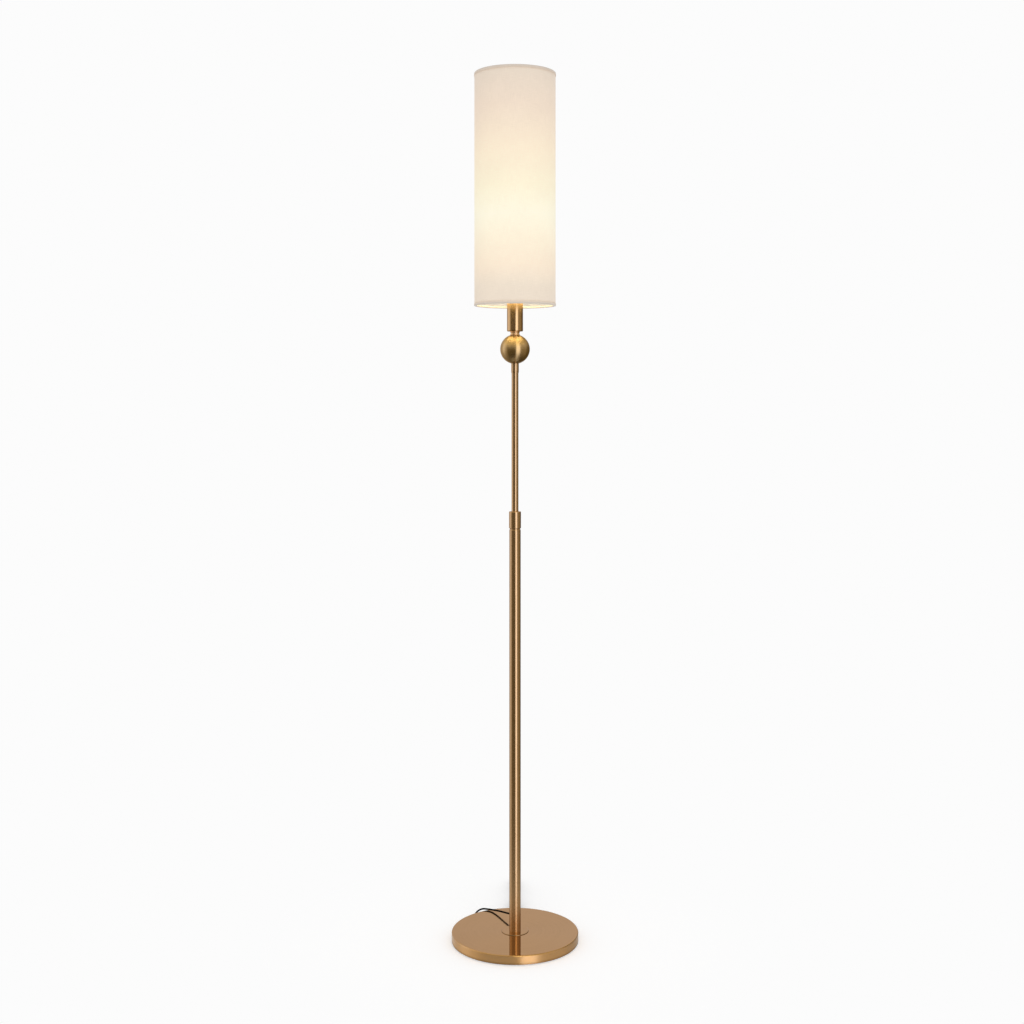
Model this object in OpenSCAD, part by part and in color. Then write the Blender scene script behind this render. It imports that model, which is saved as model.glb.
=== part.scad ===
// Column floor lamp: a weighted round base, a pole of two sliding tubes with a twist lock,
// a ball below the lamp holder, and a tall drum shade of fabric over a stiff liner.
// Millimetres. +Z is up, the front faces -Y, and the origin is the middle of the underside.

/* [Base] */
// Diameter of the base
base_d = 233; // [200:1:300]
// Height of the base above its felt pad
base_h = 16; // [14:0.5:24]
// Radius of the base's rounded top edge
base_edge_r = 1.5; // [0.5:0.1:2]
// Thickness of the brass skin over the weight
skin_t = 1.2; // [0.8:0.1:1.6]
// Thickness of the steel plate that closes the underside
plate_t = 1.2; // [0.8:0.1:2]
// Thickness of the felt ring that the lamp stands on
pad_t = 1.5; // [1:0.1:3]
// Width of the felt ring
pad_w = 16; // [8:1:30]
// Distance from the base's outside to the felt ring
pad_inset = 6; // [4:1:16]
// Diameter of the recess for the fixing nut
recess_d = 34; // [30:1:60]
// Depth of the recess in the weight
recess_h = 6; // [6:0.5:8]
// Diameter of the washer on the stud
washer_d = 28; // [22:1:29]
// Thickness of the washer
washer_t = 1.5; // [1:0.1:2]
// Width of the hexagon nut across its flats
nut_flats = 17; // [15:0.5:19]
// Height of the hexagon nut
nut_h = 4.5; // [3:0.1:5]

/* [Pole] */
// Diameter of the thin plate under the pole
flange_d = 50; // [34:1:80]
// Thickness of the plate under the pole
flange_t = 1; // [0.8:0.1:2.5]
// Radius of that plate's rounded edge
flange_edge_r = 0.6; // [0.2:0.1:0.7]
// Outer diameter of the lower tube
lower_d = 21; // [18.5:0.1:24]
// Wall of the lower tube
lower_wall = 1.2; // [0.8:0.1:1.4]
// Length of the lower tube
lower_len = 738; // [500:1:900]
// Outer diameter of the upper tube
upper_d = 12.7; // [11.5:0.1:13]
// Wall of the upper tube
upper_wall = 1.35; // [0.8:0.05:1.4]
// Length of the upper tube that shows above the lock
exposed_len = 255; // [120:1:300]
// How far the upper tube can still be pulled out
travel_up = 150; // [60:1:200]
// Height of the slide bush on the upper tube's foot
bush_h = 30; // [16:1:50]
// Height of the threaded plug in the lower tube's foot
insert_h = 10; // [6:0.5:10]

/* [Twist lock] */
// Outer diameter of the lock sleeve
lock_d = 22; // [21:0.1:26]
// Height of the lock sleeve
lock_h = 31; // [26:1:50]
// Radius of the lock sleeve's rounded ends
lock_edge_r = 1; // [0.4:0.1:1.4]
// Thickness of the lock sleeve's top
lock_top_t = 3.5; // [2:0.1:6]
// Outer diameter of the guide's threaded neck
guide_neck_d = 17.2; // [16:0.1:17.6]
// Length of the guide inside the lower tube
guide_in = 22; // [12:1:40]
// Height of the guide's rim on the tube's end
guide_rim_t = 1.5; // [1:0.1:3]
// Height of the nylon grip ring
grip_h = 10; // [6:0.5:12]

/* [Ball and neck] */
// Diameter of the ball
ball_d = 54.6; // [40:0.1:70]
// Wall of the hollow ball
ball_wall = 2; // [1.5:0.1:4]
// Wall of the collar under the ball
ball_collar_wall = 0.7; // [0.6:0.05:2]
// Height of the collar under the ball
ball_collar_h = 17.5; // [12:0.5:30]
// Diameter of the neck over the ball
neck_d = 17.8; // [13:0.1:20]
// Height of the neck over the ball
neck_h = 6.5; // [4:0.5:14]
// How deep the neck's waist is cut
neck_waist = 0.8; // [0.3:0.1:1.2]
// Diameter of the hollow threaded rod through the ball
rod_d = 9.9; // [8:0.1:9.9]
// Bore of the threaded rod
rod_bore = 7; // [4:0.1:7.5]

/* [Sleeve and lamp holder] */
// Outer diameter of the sleeve over the neck
sleeve_d = 29.5; // [28.5:0.1:34]
// Wall of the sleeve
sleeve_wall = 0.8; // [0.6:0.1:1]
// Thickness of the sleeve's bottom
sleeve_floor = 2; // [1:0.1:3]
// Radius of the sleeve's rounded bottom edge
sleeve_edge_r = 2; // [0.5:0.1:2]
// Height of the sleeve
sleeve_h = 105; // [70:1:120]
// Outer diameter of the lamp holder's skirt
holder_d = 37; // [35:0.1:40]
// Height of the lamp holder's skirt
holder_skirt_h = 30; // [26:0.5:40]
// Diameter of the holder's shoulder that carries the shade
shoulder_d = 47; // [44:0.1:48]
// Thickness of the holder's shoulder
shoulder_t = 2; // [1:0.1:4]
// Diameter of the holder's threaded end
thread_d = 39; // [37:0.1:39.5]
// Height of the holder's threaded end
thread_h = 26; // [18:0.5:34]
// Diameter of the shade ring that screws on the holder
nut_ring_d = 52; // [50:0.5:58]
// Height of the shade ring
nut_ring_h = 8; // [4:0.5:14]

/* [Bulb] */
// Diameter of the bulb
bulb_d = 60; // [45:1:80]
// Length of the bulb with its cap
bulb_len = 105; // [95:1:140]
// Wall of the bulb's glass
bulb_wall = 0.8; // [0.6:0.1:1.5]
// Diameter of the bulb's screw cap
cap_d = 26.4; // [24:0.1:26.8]
// Length of the bulb's screw cap
cap_len = 27; // [24:0.5:30]

/* [Shade] */
// Outer diameter of the shade
shade_d = 150; // [130:1:260]
// Height of the shade with its hems
shade_h = 428; // [300:1:520]
// How far the shade's fitting lies above its lower edge
fitter_h = 90; // [60:1:110]
// Thickness of the fabric
fabric_t = 0.8; // [0.5:0.1:1.2]
// Thickness of the stiff liner
liner_t = 0.5; // [0.3:0.1:1]
// Height of the folded hems on the outside
hem_h = 5; // [4:0.5:14]
// Thickness of the hem's tape
hem_t = 0.35; // [0.2:0.05:0.5]
// Diameter of the shade's ring wires
wire_d = 3; // [2:0.1:4]
// Diameter of the three arms
arm_d = 2.6; // [2:0.1:2.8]
// Thickness of the fitting's middle ring
fitter_t = 2; // [1.5:0.1:3]
// Outer diameter of the fitting's middle ring
fitter_d = 54; // [53:0.5:70]

/* [Cord] */
// Diameter of the cord
cord_d = 3.2; // [2.8:0.1:3.2]
// Length of the strain relief behind the pole
boot_len = 17.5; // [12:0.5:20]
// Diameter of the strain relief at the pole
boot_d = 10; // [9.8:0.1:12]
// Height of the cord's exit above the base
exit_h = 16.5; // [16.5:0.1:20]
// Length of the in-line switch
switch_len = 52; // [44:1:52]
// Width of the in-line switch
switch_w = 16; // [14:0.5:18]
// Height of the in-line switch
switch_h = 10; // [9.5:0.1:12]
// Length of the switch's rocker
rocker_len = 13; // [9:0.5:16]
// Width of the switch's rocker
rocker_w = 7.8; // [6:0.1:8.6]
// Width of the plug's body
plug_w = 19; // [17:0.5:24]
// Length of the plug's body
plug_len = 24; // [20:1:34]
// Height of the plug's body
plug_h = 12.4; // [10:0.1:16]
// Length of the plug's tapered tail
plug_tail = 16; // [8:1:16]
// Length of the plug's blades outside its body
blade_len = 17; // [12:0.5:18]
// Width of the plug's blades
blade_w = 6.35; // [5:0.05:7]
// Thickness of the plug's blades
blade_t = 1.5; // [1:0.1:2]
// Distance between the middles of the blades
blade_gap = 12.7; // [11:0.1:14]
// Width of the tie round the hank
tie_w = 10; // [6:0.5:12]
// Thickness of the tie round the hank
tie_t = 0.9; // [0.5:0.1:1]

/* [Hidden] */
$fn = 72;

// Clearances: a fixed fit, a running fit, and the space between parts that move past each other.
fit = 0.05;
run_fit = 0.05;
clear = 0.3;
stop_gap = 0.5;

// Colours.
BRASS = [0.72, 0.53, 0.30];
STEEL = [0.66, 0.66, 0.68];
IRON = [0.25, 0.25, 0.26];
FELT = [0.10, 0.10, 0.10];
BLACK = [0.06, 0.05, 0.05];
NYLON = [0.88, 0.87, 0.84];
LINEN = [0.95, 0.92, 0.86];
GLASS = [1.00, 0.97, 0.90];

// Heights, from the floor up.
base_r = base_d/2;
base_top = pad_t + base_h;
weight_foot = pad_t + plate_t;
recess_top = weight_foot + recess_h;
nut_foot = recess_top - washer_t - nut_h;
pole_foot = base_top + flange_t;
pole_top = pole_foot + lower_len;
lock_foot = pole_top + guide_rim_t + stop_gap;
lock_top = lock_foot + lock_h;
collar_foot = lock_top + exposed_len;
collar_r = upper_d/2 + ball_collar_wall;
ball_foot = collar_foot + ball_collar_h;
ball_r = ball_d/2;
ball_mid = ball_foot + sqrt(pow(ball_r, 2) - pow(collar_r, 2));
neck_foot = ball_mid + sqrt(pow(ball_r, 2) - pow(neck_d/2, 2));
sleeve_foot = neck_foot + neck_h;
holder_foot = sleeve_foot + sleeve_h;
seat = holder_foot + holder_skirt_h + shoulder_t;
shade_foot = seat - fitter_h;
shade_top = shade_foot + shade_h;

// Tubes and rods. The rod screws into the upper tube, and the stud into the pole's insert.
lower_r = lower_d/2;
lower_bore = lower_r - lower_wall;
upper_r = upper_d/2;
upper_bore = upper_r - upper_wall;
rod_r = rod_d/2;
rod_hole = rod_r + fit;
stud_r = 5;
stud_hole = stud_r + fit;
stud_foot = nut_foot + 0.3;
tube_edge_r = 1;

// The guide's foot stops the slide bush at the end of the pull.
guide_foot = pole_top - guide_in;
bush_lip = 1;
bush_foot = guide_foot - stop_gap - travel_up - bush_h;
tube_foot = bush_foot + bush_lip;
tube_top = ball_foot - 5;
rod_in_tube = 24;
rod_foot = tube_top - rod_in_tube;

// The lock: a sleeve that turns on the guide's neck and presses the grip ring on the tube.
guide_neck_r = guide_neck_d/2;
lock_bore = guide_neck_r + run_fit;
lock_roof = lock_top - lock_top_t;
grip_top = lock_roof - 0.4;
neck_top = grip_top - grip_h;
grip_bore = upper_r + run_fit;

// The lamp holder and the bulb in it.
holder_boss_h = 6;
holder_top = seat + thread_h;
cap_pocket_r = cap_d/2 + clear;
contact_h = 2.5;
glass_foot = holder_top;
bulb_foot = glass_foot - cap_len;
cap_floor = bulb_foot - contact_h;
rod_top = holder_foot + 8;
bulb_r = bulb_d/2;
bulb_mid = bulb_foot + bulb_len - bulb_r;

// The shade's skins, from the outside in.
fabric_r = shade_d/2;
liner_r = fabric_r - fabric_t - fit;
wire_r = wire_d/2;
wire_ring_r = liner_r - liner_t - fit - wire_r;
skin_foot = shade_foot + hem_t + fit;
skin_top = shade_top - hem_t - fit;
wire_low = skin_foot + wire_r;
wire_high = skin_top - wire_r;
hem_lip = 1.6;
arm_r = arm_d/2;
arm_bend_r = 46;
arm_knee_r = arm_r + 0.08;
ARM_ANGLES = [90, 210, 330];

// The cord's route outside its hank, by hand. It leaves the pole's back, hangs to the base's
// rim, drops behind the base, and turns back along it to the switch.
CORD_ROUTE = [
  [0, 28, 34], [-1, 36, 33.2], [-5.5, 45, 31.3], [-12, 54, 29.2], [-20, 66, 26.8],
  [-28, 78, 24.4], [-36, 89, 22], [-44, 97.5, 20.2], [-54, 103.5, 19.4], [-63, 105.3, 18.9],
  [-70.5, 107, 14.8], [-75, 111.5, 8.8], [-76, 118.2, 3.8], [-72.5, 123.6, 1.9],
  [-66, 125, 1.8], [-60, 123, 3.2], [-53.8, 121.9, 5]
];
LEAD_ROUTE = [
  [-2.3, 129.1, 5], [2.4, 130, 4.4], [6.8, 133.4, 2.9], [9.1, 138.6, 1.8],
  [9.5, 145, 1.6], [9.5, 152, 1.6]
];
TAIL_ROUTE = [
  [9.5, 152, 16.8], [9.3, 162, 17], [7.4, 174, 17.7], [5, 186, 18.9], [2.6, 199, 20.2],
  [0.8, 212, 21.4], [0, 224, 21.9], [0, 232, 21.9]
];
cord_r = cord_d/2;
cord_sides = 8;
route_steps = 2;

// The hank: loops in one upright stack, each climbing one step on its way back to the base,
// and drawn in alike at the waist, where the tie goes round them.
hank_loops = 4;
hank_fold_r = 9.5;
hank_run = 154;
hank_y = 152;
hank_z = 1.6;
hank_step = 3.8;
hank_waist_x = 2.2;
hank_lift = 1.2;
hank_rings = 24;
hank_sides = 6;
hank_top = hank_z + hank_lift + (hank_loops - 1)*hank_step + cord_r;
tie_side = hank_waist_x + cord_r + 0.5;
tie_foot = 0.1;

// The switch lies along the base's back, and the plug on the hank.
SWITCH_AT = [-28, 125.5, 0];
switch_turn = 8;
switch_edge = 3;
pivot_z = 6.5;
pivot_r = 1;
pivot_reach = 1.8;
rocker_foot = 1.3;
rocker_rise = 4.3;
rocker_dip = 0.7;
rocker_tilt = 8;
exit_z = base_top + exit_h;
boot_neck_r = 3.9;
boot_lip_r = 4.6;
plug_y = 232;
plug_z = 21.9;
plug_round = 3;
blade_in = 4;

// Shared shapes.

// A ring about the Z axis, from one radius and height to another.
module ring(inner, outer, foot, top)
  rotate_extrude()
    translate([inner, foot]) square([outer - inner, top - foot]);

// A hole or disc about the Z axis.
module disc(radius, foot, top)
  translate([0, 0, foot]) cylinder(r = radius, h = top - foot);

// What is cut from a profile to round its corner. turn 0 is the outer upper corner, 270 the lower.
module corner_cut(x, z, radius, turn)
  translate([x, z]) rotate(turn) translate([-radius, -radius])
    difference() {
      square(radius + 1);
      circle(radius);
    }

// A straight rod between two points.
module rod(from, to, radius) {
  way = to - from;
  translate(from)
    rotate([0, acos(way.z/norm(way)), atan2(way.y, way.x)])
      cylinder(r = radius, h = norm(way));
}

// A smooth curve through points, with the given steps from each to the next.
function unit(v) = v/norm(v);
function before(p) = 2*p[0] - p[1];
function after(p) = 2*p[len(p) - 1] - p[len(p) - 2];
function point_at(p, i) = i < 0 ? before(p) : i >= len(p) ? after(p) : p[i];
function blend(a, b, c, d, t) =
  0.5*(2*b + (c - a)*t + (2*a - 5*b + 4*c - d)*t*t + (3*b - a - 3*c + d)*t*t*t);
function curve(p, steps) = [
  for (i = [0:len(p) - 2], k = [0:steps - 1])
    blend(point_at(p, i - 1), p[i], p[i + 1], point_at(p, i + 2), k/steps),
  p[len(p) - 1]
];

// A tube along points, with its first and last ring square to the given directions.
function way_at(q, i, first, last) =
  i == 0 ? first : i == len(q) - 1 ? last : unit(q[i + 1] - q[i - 1]);
function tube_ring(at, way, radius, sides) =
  let (side = unit(cross(way, [0, 0, 1])), rise = cross(side, way))
  [for (k = [0:sides - 1]) at + radius*(cos(360*k/sides)*side + sin(360*k/sides)*rise)];
module tube(q, radius, sides, first, last) {
  rings = len(q);
  points = [
    for (i = [0:rings - 1]) each tube_ring(q[i], way_at(q, i, first, last), radius, sides),
    q[0],
    q[rings - 1]
  ];
  walls = [
    for (i = [0:rings - 2], k = [0:sides - 1])
      let (a = i*sides + k, b = i*sides + (k + 1) % sides)
      each [[a, a + sides, b], [b, a + sides, b + sides]]
  ];
  ends = [
    for (k = [0:sides - 1])
      let (next = (k + 1) % sides, far = (rings - 1)*sides)
      each [[rings*sides, k, next], [rings*sides + 1, far + next, far + k]]
  ];
  polyhedron(points, concat(walls, ends));
}

// A point on the hank's middle line, u loops from its start.
function drawn_in(t) = pow(sin(180*t), 2);
function run_x(t) = hank_fold_r - (hank_fold_r - hank_waist_x)*drawn_in(t);
function smooth(s) = s*s*(3 - 2*s);
function climb(t) = smooth(max(0, 2*t - 1));
function hank_point(u) =
  let (level = floor(u), v = 4*(u - level), t = v - floor(v))
  v < 1 ? [run_x(t), hank_y + hank_run*t, hank_z + hank_step*level + hank_lift*drawn_in(t)]
  : v < 2 ? [
      hank_fold_r*cos(180*t),
      hank_y + hank_run + hank_fold_r*sin(180*t),
      hank_z + hank_step*level
    ]
  : v < 3 ? [
      -run_x(t),
      hank_y + hank_run*(1 - t),
      hank_z + hank_step*(level + climb(t)) + hank_lift*drawn_in(t)
    ]
  : [
      -hank_fold_r*cos(180*t),
      hank_y - hank_fold_r*sin(180*t),
      hank_z + hank_step*(level + 1)
    ];
function hank_line(rings_each) =
  [for (i = [0:hank_loops*rings_each]) hank_point(i/rings_each)];

// The least gap between the hank's own loops, and the cord's whole length.
fine = hank_line(96);
least_gap = min([
  for (i = [0:len(fine) - 25], j = [i + 24:len(fine) - 1]) norm(fine[i] - fine[j])
]) - cord_d;
function line_length(q, i = 0) = i > len(q) - 2 ? 0 : norm(q[i + 1] - q[i]) + line_length(q, i + 1);
cord_length = boot_len + line_length(curve(CORD_ROUTE, 8)) + switch_len
  + line_length(curve(LEAD_ROUTE, 8)) + line_length(fine) + line_length(curve(TAIL_ROUTE, 8));
echo(str("Least gap of the hank to itself: ", least_gap, " mm"));
echo(str("Length of the cord's middle line: ", cord_length, " mm"));

// Base.

module foot_pad()
  color(FELT) ring(base_r - pad_inset - pad_w, base_r - pad_inset, 0, pad_t);

module base_plate()
  color(STEEL) ring(recess_d/2 + 1, base_r - skin_t - fit, pad_t, weight_foot);

module base_weight()
  color(IRON) difference() {
    disc(base_r - skin_t - fit, weight_foot, base_top - skin_t);
    disc(stud_hole, 0, base_top);
    disc(recess_d/2, 0, recess_top);
  }

module base_skin()
  color(BRASS) rotate_extrude() difference() {
    translate([stud_hole, pad_t]) square([base_r - stud_hole, base_h]);
    translate([0, pad_t - 1]) square([base_r - skin_t, base_h + 1 - skin_t]);
    corner_cut(base_r, base_top, base_edge_r, 0);
  }

module fixing_nut()
  color(STEEL) difference() {
    translate([0, 0, nut_foot]) cylinder(d = nut_flats/cos(30), h = nut_h, $fn = 6);
    disc(stud_hole, 0, recess_top);
  }

module fixing_washer()
  color(STEEL) ring(stud_hole, washer_d/2, recess_top - washer_t, recess_top);

module base_stud()
  color(STEEL) disc(stud_r, stud_foot, pole_foot + insert_h - 1);

// Pole.

module pole_flange()
  color(BRASS) rotate_extrude() difference() {
    translate([stud_hole, base_top]) square([flange_d/2 - stud_hole, flange_t]);
    corner_cut(flange_d/2, pole_foot, flange_edge_r, 0);
  }

module pole_insert()
  color(STEEL) ring(stud_hole, lower_bore - fit, pole_foot, pole_foot + insert_h);

module lower_tube()
  color(BRASS) difference() {
    rotate_extrude() difference() {
      translate([lower_bore, pole_foot]) square([lower_wall, lower_len]);
      corner_cut(lower_r, pole_top, tube_edge_r, 0);
    }
    translate([0, 0, exit_z]) rotate([-90, 0, 0]) cylinder(r = boot_neck_r + fit, h = lower_r + 1);
  }

module cord_boot()
  color(BLACK) {
    difference() {
      translate([0, 0, exit_z]) rotate([-90, 0, 0])
        cylinder(r1 = boot_d/2, r2 = cord_r + 0.8, h = lower_r + boot_len);
      disc(lower_r, 0, pole_top);
    }
    intersection() {
      translate([0, lower_bore - 2, exit_z]) rotate([-90, 0, 0])
        cylinder(r = boot_neck_r, h = lower_wall + 3);
      disc(lower_r + 1, 0, pole_top);
    }
    intersection() {
      translate([0, lower_bore - 2.6, exit_z]) rotate([-90, 0, 0])
        cylinder(r = boot_lip_r, h = 3);
      disc(lower_bore - fit, 0, pole_top);
    }
  }

module pole_guide()
  color(BRASS) rotate_extrude() {
    guide_bore = upper_r + clear + 0.2;
    translate([guide_bore, guide_foot])
      square([lower_bore - fit - guide_bore, guide_in]);
    translate([guide_bore, pole_top])
      square([lower_r - tube_edge_r - guide_bore, guide_rim_t]);
    translate([guide_bore, pole_top])
      square([guide_neck_r - guide_bore, neck_top - pole_top]);
  }

module grip_ring()
  color(NYLON) rotate_extrude() polygon([
    [grip_bore, neck_top], [guide_neck_r - 0.2, neck_top],
    [(grip_bore + guide_neck_r)/2, grip_top], [grip_bore, grip_top]
  ]);

// The lock turns on the guide's neck, and its roof covers the grip ring.
module lock_sleeve()
  color(BRASS) rotate_extrude() difference() {
    translate([upper_r + clear, lock_foot]) square([lock_d/2 - upper_r - clear, lock_h]);
    translate([0, lock_foot - 1]) square([lock_bore, lock_roof - lock_foot + 1]);
    corner_cut(lock_d/2, lock_top, lock_edge_r, 0);
    corner_cut(lock_d/2, lock_foot, lock_edge_r, 270);
  }

module slide_bush()
  color(NYLON) {
    ring(upper_r + fit, lower_bore - run_fit, tube_foot, bush_foot + bush_h);
    ring(upper_bore - 0.5, lower_bore - run_fit, bush_foot, tube_foot);
  }

module upper_tube()
  color(BRASS) ring(upper_bore, upper_r, tube_foot, tube_top);

// Ball, neck and sleeve.

module ball_collar()
  color(BRASS) rotate_extrude() {
    polygon([
      [upper_r + fit, collar_foot], [collar_r - 0.4, collar_foot],
      [collar_r, collar_foot + 3], [collar_r, tube_top], [upper_r + fit, tube_top]
    ]);
    translate([rod_hole, tube_top]) square([collar_r - rod_hole, ball_foot - tube_top]);
  }

module ball_rod()
  color(STEEL) ring(rod_bore/2, rod_r, rod_foot, rod_top);

module ball()
  color(BRASS) difference() {
    translate([0, 0, ball_mid]) sphere(r = ball_r, $fn = 96);
    translate([0, 0, ball_mid]) sphere(r = ball_r - ball_wall, $fn = 96);
    disc(rod_hole, ball_foot - 5, neck_foot + 5);
    disc(collar_r + 1, ball_mid - ball_r - 1, ball_foot);
    disc(neck_d/2 + 1, neck_foot, ball_mid + ball_r + 1);
  }

module neck()
  color(BRASS) rotate_extrude() difference() {
    translate([rod_hole, neck_foot]) square([neck_d/2 - rod_hole, neck_h]);
    translate([neck_d/2 + neck_h/2 - neck_waist, neck_foot + neck_h/2]) circle(neck_h/2);
  }

module socket_sleeve()
  color(BRASS) rotate_extrude() difference() {
    translate([rod_hole, sleeve_foot]) square([sleeve_d/2 - rod_hole, sleeve_h]);
    translate([0, sleeve_foot + sleeve_floor]) square([sleeve_d/2 - sleeve_wall, sleeve_h]);
    corner_cut(sleeve_d/2, sleeve_foot, sleeve_edge_r, 270);
  }

module lamp_holder()
  color(NYLON) difference() {
    union() {
      disc(sleeve_d/2 - sleeve_wall - fit, holder_foot - holder_boss_h, holder_foot);
      disc(holder_d/2, holder_foot, seat - shoulder_t);
      disc(shoulder_d/2, seat - shoulder_t, seat);
      disc(thread_d/2, seat, holder_top);
    }
    disc(rod_hole, 0, rod_top + fit);
    disc(cap_pocket_r, cap_floor, holder_top + 1);
  }

// Bulb.

module bulb_cap()
  color(STEEL) {
    disc(cap_d/2, bulb_foot + contact_h, glass_foot);
    translate([0, 0, bulb_foot]) cylinder(r1 = 4.5, r2 = cap_d/2, h = contact_h);
  }

// The bulb's outline, drawn in by the wall for the inside.
module bulb_outline(wall) {
  lean = 36;
  translate([0, bulb_mid]) intersection() {
    circle(r = bulb_r - wall, $fn = 96);
    translate([0, -bulb_r]) square([bulb_r, 2*bulb_r]);
  }
  polygon([
    [0, glass_foot + wall],
    [cap_d/2 - 0.4 - wall, glass_foot + wall],
    [cap_d/2 + 1.2 - wall, glass_foot + 8],
    [(bulb_r - wall)*cos(lean), bulb_mid - (bulb_r - wall)*sin(lean)],
    [0, bulb_mid]
  ]);
}

module bulb_glass()
  color(GLASS, 0.6) rotate_extrude() difference() {
    bulb_outline(0);
    bulb_outline(bulb_wall);
  }

// Shade.

// The fitting's ring, its three arms and the lower ring wire are welded into one piece.
module shade_spider()
  color(STEEL) {
    ring(thread_d/2 + clear, fitter_d/2, seat, seat + fitter_t);
    translate([0, 0, wire_low]) rotate_extrude() translate([wire_ring_r, 0]) circle(wire_r, $fn = 32);
    for (angle = ARM_ANGLES) rotate(angle) {
      arm_z = seat + fitter_t - arm_r;
      root = [fitter_d/2 - 1.5, 0, arm_z];
      bend = [arm_bend_r, 0, arm_z];
      tip = [wire_ring_r - 0.3, 0, wire_low];
      rod(root, bend, arm_r);
      translate(bend) sphere(r = arm_knee_r, $fn = 32);
      rod(bend, tip, arm_r);
    }
  }

module shade_ring()
  color(NYLON) {
    ring(thread_d/2 + fit, nut_ring_d/2, seat + fitter_t, seat + fitter_t + 2);
    ring(thread_d/2 + fit, thread_d/2 + 3, seat + fitter_t + 2, seat + fitter_t + nut_ring_h);
  }

module shade_wire_top()
  color(STEEL) translate([0, 0, wire_high])
    rotate_extrude() translate([wire_ring_r, 0]) circle(wire_r, $fn = 32);

module shade_liner()
  color(LINEN) ring(liner_r - liner_t, liner_r, skin_foot, skin_top);

module shade_fabric()
  color(LINEN) ring(fabric_r - fabric_t, fabric_r, skin_foot, skin_top);

// A hem folds over an edge: up the outside, across the end, and a short lip inside the wire.
module hem_profile() {
  outer = fabric_r + fit + hem_t;
  inner = wire_ring_r - wire_r - fit - hem_t;
  translate([inner, 0]) square([outer - inner, hem_t]);
  translate([outer - hem_t, 0]) square([hem_t, hem_h]);
  translate([inner, 0]) square([hem_t, hem_lip]);
}

module hem_bottom()
  color(LINEN) translate([0, 0, shade_foot]) rotate_extrude() hem_profile();

module hem_top()
  color(LINEN) translate([0, 0, shade_top]) mirror([0, 0, 1]) rotate_extrude() hem_profile();

// Cord, switch and plug.

module cord()
  color(BLACK) tube(curve(CORD_ROUTE, route_steps), cord_r, cord_sides,
    [0, 1, 0], [cos(switch_turn), sin(switch_turn), 0]);

module cord_lead()
  color(BLACK) tube(curve(LEAD_ROUTE, route_steps), cord_r, cord_sides,
    [cos(switch_turn), sin(switch_turn), 0], [0, 1, 0]);

module cord_hank()
  color(BLACK) tube(hank_line(hank_rings), cord_r, hank_sides, [0, 1, 0], [0, 1, 0]);

module cord_tail()
  color(BLACK) tube(curve(TAIL_ROUTE, route_steps), cord_r, cord_sides, [0, 1, 0], [0, 1, 0]);

module hank_tie()
  color(BLACK) translate([0, hank_y + hank_run/2 + tie_w/2, 0]) rotate([90, 0, 0])
    linear_extrude(tie_w) difference() {
      translate([-tie_side - tie_t, tie_foot])
        square([2*(tie_side + tie_t), hank_top + 0.2 + tie_t - tie_foot]);
      translate([-tie_side, tie_foot + tie_t])
        square([2*tie_side, hank_top + 0.2 - tie_t - tie_foot]);
    }

module at_switch() translate(SWITCH_AT) rotate(switch_turn) children();

// The switch's outline from above, drawn in by an inset.
module switch_outline(inset)
  hull() {
    for (x = [-11, 11], y = [-1, 1])
      translate([x, y*(switch_w/2 - 5)]) circle(r = 5 - inset, $fn = 32);
    for (x = [-1, 1]) translate([x*(switch_len/2 - 3), 0]) circle(r = 4 - inset, $fn = 32);
  }

module switch_body()
  color(BLACK) at_switch() difference() {
    hull() {
      translate([0, 0, 1]) linear_extrude(switch_h - switch_edge - 1) switch_outline(0);
      linear_extrude(switch_h) switch_outline(2);
    }
    translate([-rocker_len/2 - 1, -rocker_w/2 - clear, 3.4])
      cube([rocker_len + 2, rocker_w + 2*clear, switch_h]);
    translate([0, 0, pivot_z]) rotate([90, 0, 0])
      cylinder(r = pivot_r + run_fit, h = rocker_w + 2*pivot_reach + 0.4, center = true);
    for (x = [-1, 1]) translate([x*(switch_len/2 + 5), 0, switch_h/2])
      cube([10, switch_w, 2*switch_h], center = true);
  }

// The rocker turns on its pivot, and lies pressed down at one end.
module switch_rocker()
  color([0.14, 0.13, 0.13]) at_switch() translate([0, 0, pivot_z]) rotate([0, rocker_tilt, 0]) {
    half = rocker_len/2;
    rotate([90, 0, 0]) linear_extrude(rocker_w, center = true) polygon([
      [-half, -rocker_foot], [half, -rocker_foot], [half, rocker_rise],
      [0, rocker_rise - rocker_dip], [-half, rocker_rise]
    ]);
    rotate([90, 0, 0]) cylinder(r = pivot_r, h = rocker_w + 2*pivot_reach, center = true);
  }

module blade_places(from, length, width, thick)
  for (side = [-1, 1])
    translate([side*blade_gap/2 - thick/2, from, plug_z - width/2]) cube([thick, length, width]);

module plug_body()
  color(BLACK) difference() {
    face = plug_y + plug_tail + plug_len;
    union() {
      translate([0, plug_y, plug_z]) rotate([-90, 0, 0])
        cylinder(r1 = cord_r + 0.9, r2 = 4.6, h = plug_tail + 2);
      hull()
        for (x = [-1, 1], y = [plug_y + plug_tail + plug_round, face - plug_round], z = [-1, 1])
          translate([x*(plug_w/2 - plug_round), y, plug_z + z*(plug_h/2 - plug_round)])
            sphere(r = plug_round, $fn = 24);
    }
    blade_places(face - blade_in, blade_in + 1, blade_w + 2*fit, blade_t + 2*fit);
  }

module plug_blades()
  color(BRASS)
    blade_places(plug_y + plug_tail + plug_len - blade_in + fit, blade_in + blade_len - fit,
      blade_w, blade_t);

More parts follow.
